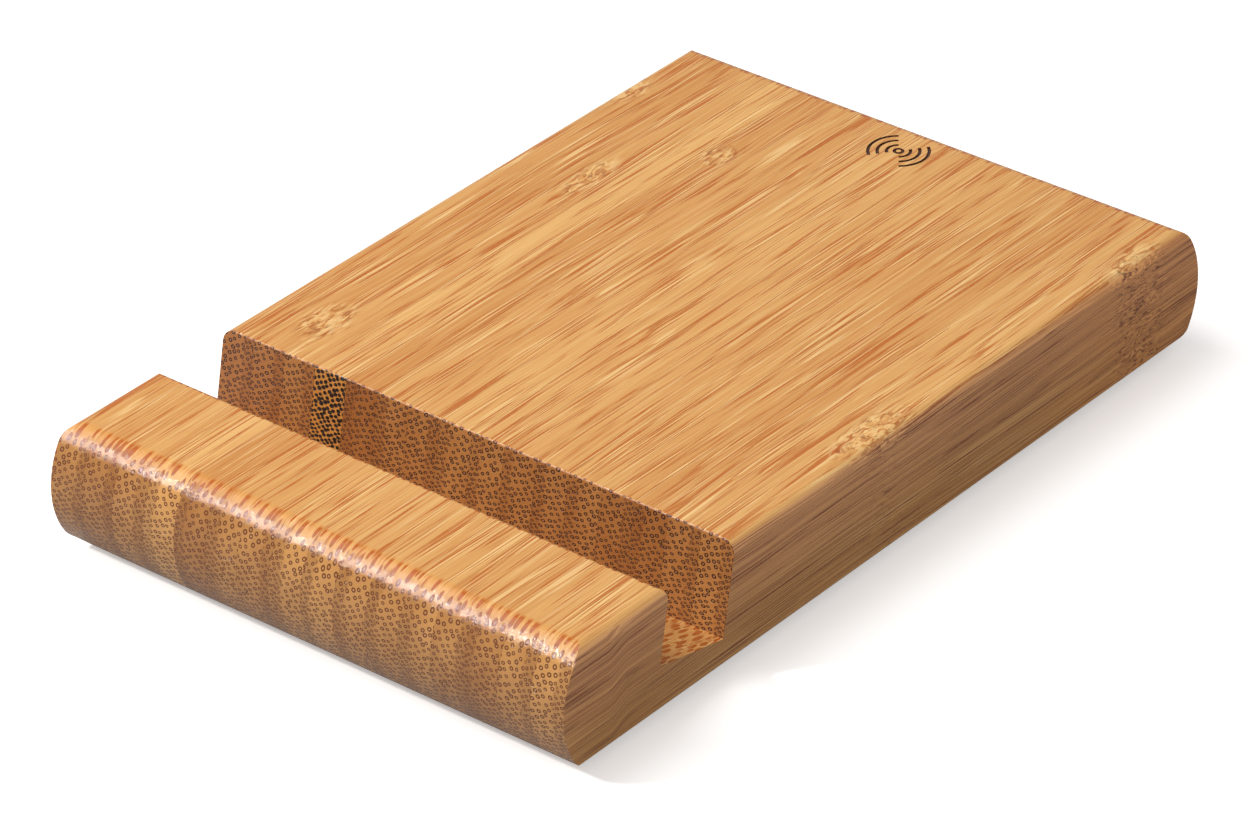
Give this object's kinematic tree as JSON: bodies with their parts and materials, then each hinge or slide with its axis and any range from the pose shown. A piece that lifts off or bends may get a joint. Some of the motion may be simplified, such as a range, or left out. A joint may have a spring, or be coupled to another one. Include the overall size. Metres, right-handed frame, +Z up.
{
  "type": "wireless charging pad",
  "caption": "Flat laminated bamboo block with a leaning phone slot across its front, an engraved wireless symbol, and a charging coil under its top face.",
  "frame": {"origin": "on the surface that the feet stand on, under the middle of the block", "axes": "+X across the width to the right, +Y from the front bar to the back with the power inlet, +Z up"},
  "size_m": [0.08, 0.126, 0.0175],
  "materials": {
    "bamboo": "satin lacquer over laminated bamboo",
    "cover_plastic": "fine moulded texture",
    "screw_steel": "zinc plated",
    "foot_rubber": "matt",
    "frame_plastic": "satin",
    "socket_steel": "bright nickel",
    "tongue_plastic": "matt",
    "contact_gold": "gold plated",
    "clear_plastic": "clear, frosted inside",
    "led_white": "moulded resin",
    "board_green": "solder mask",
    "chip_black": "moulded epoxy",
    "capacitor_ceramic": "ceramic with tinned ends",
    "coil_copper": "enamelled strands",
    "ferrite": "sintered, matt",
    "adhesive_film": "film",
    "solder": "bright",
    "lead_red": "insulated wire"
  },
  "bodies": {
    "root": {"bamboo_body": "bamboo", "base_cover": "cover_plastic", "base_screws": "screw_steel", "foot_front_left": "foot_rubber", "foot_front_right": "foot_rubber", "foot_rear_left": "foot_rubber", "foot_rear_right": "foot_rubber", "port_frame": "frame_plastic", "usb_shell": "socket_steel", "usb_tongue": "tongue_plastic", "usb_contacts": "contact_gold", "light_pipe": "clear_plastic", "status_led": "led_white", "circuit_board": "board_green", "board_screws": "screw_steel", "controller_chip": "chip_black", "regulator_chip": "chip_black", "bridge_transistors": "chip_black", "sense_resistor": "chip_black", "resonant_capacitors": "capacitor_ceramic", "input_capacitors": "capacitor_ceramic", "small_passives": "capacitor_ceramic", "charging_coil": "coil_copper", "ferrite_shield": "ferrite", "coil_tape": "adhesive_film", "coil_lead_outer": "coil_copper", "coil_lead_inner": "coil_copper", "lead_solder": "solder", "temperature_probe": "chip_black", "probe_leads": "lead_red"}
  },
  "joints": []
}
